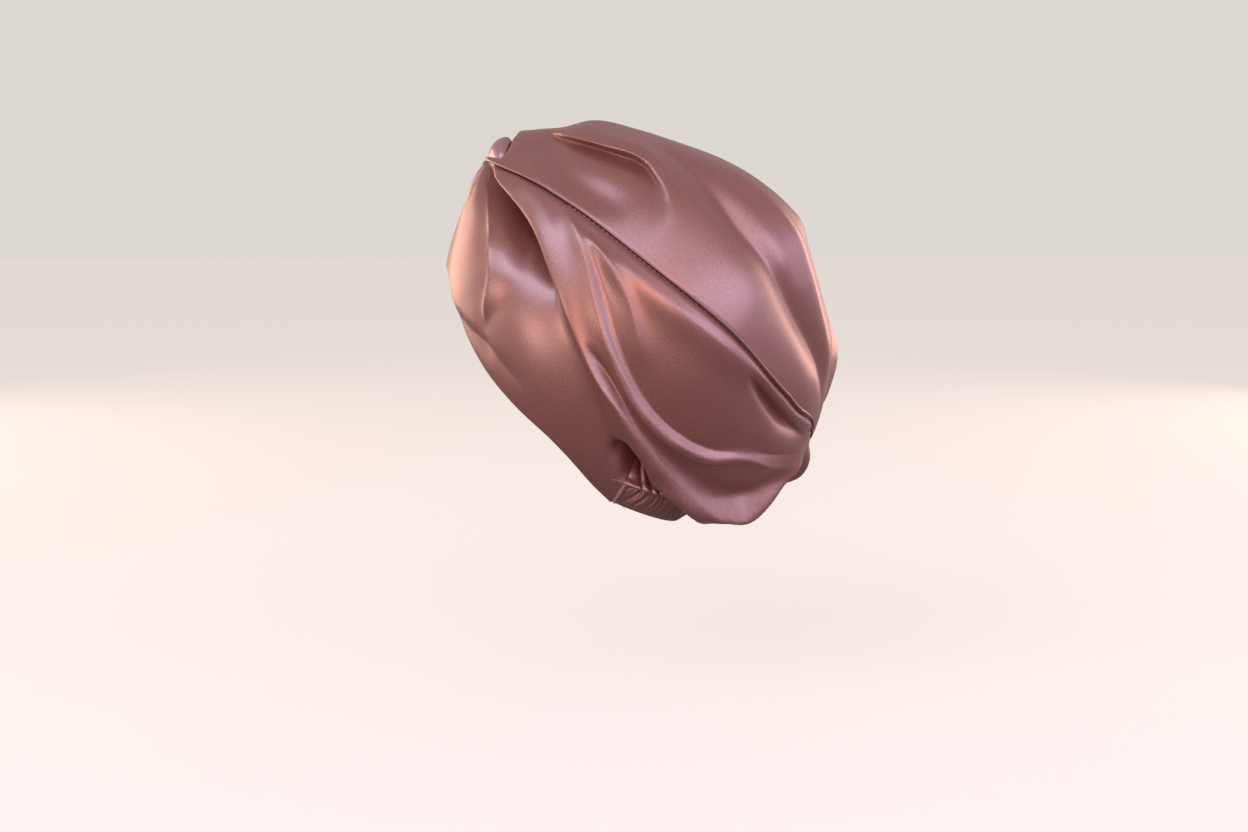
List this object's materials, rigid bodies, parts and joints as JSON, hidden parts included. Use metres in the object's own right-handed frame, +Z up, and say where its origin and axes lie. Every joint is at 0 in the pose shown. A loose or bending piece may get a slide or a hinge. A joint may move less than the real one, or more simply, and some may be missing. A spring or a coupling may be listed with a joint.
{
  "type": "sleep bonnet",
  "caption": "Satin sleep bonnet in its worn shape, with a twisted knot at the top front, pleated side panels and a gathered elastic nape",
  "frame": {"origin": "underside of the crown where the top of the head bears", "axes": "+Z up, the face looks toward -Y, the wearer's left is +X"},
  "size_m": [0.195, 0.2167, 0.2176],
  "materials": {
    "satin": "dusty rose satin, glossy side out",
    "loop_satin": "mauve satin, glossy side out",
    "casing_satin": "dusty rose satin, gathered and duller"
  },
  "bodies": {
    "root": {"crown_panel": "satin", "side_panel_left": "satin", "side_panel_right": "satin", "twist_loop": "loop_satin", "twist_loop_under": "loop_satin", "nape_elastic_casing": "casing_satin"}
  },
  "joints": []
}
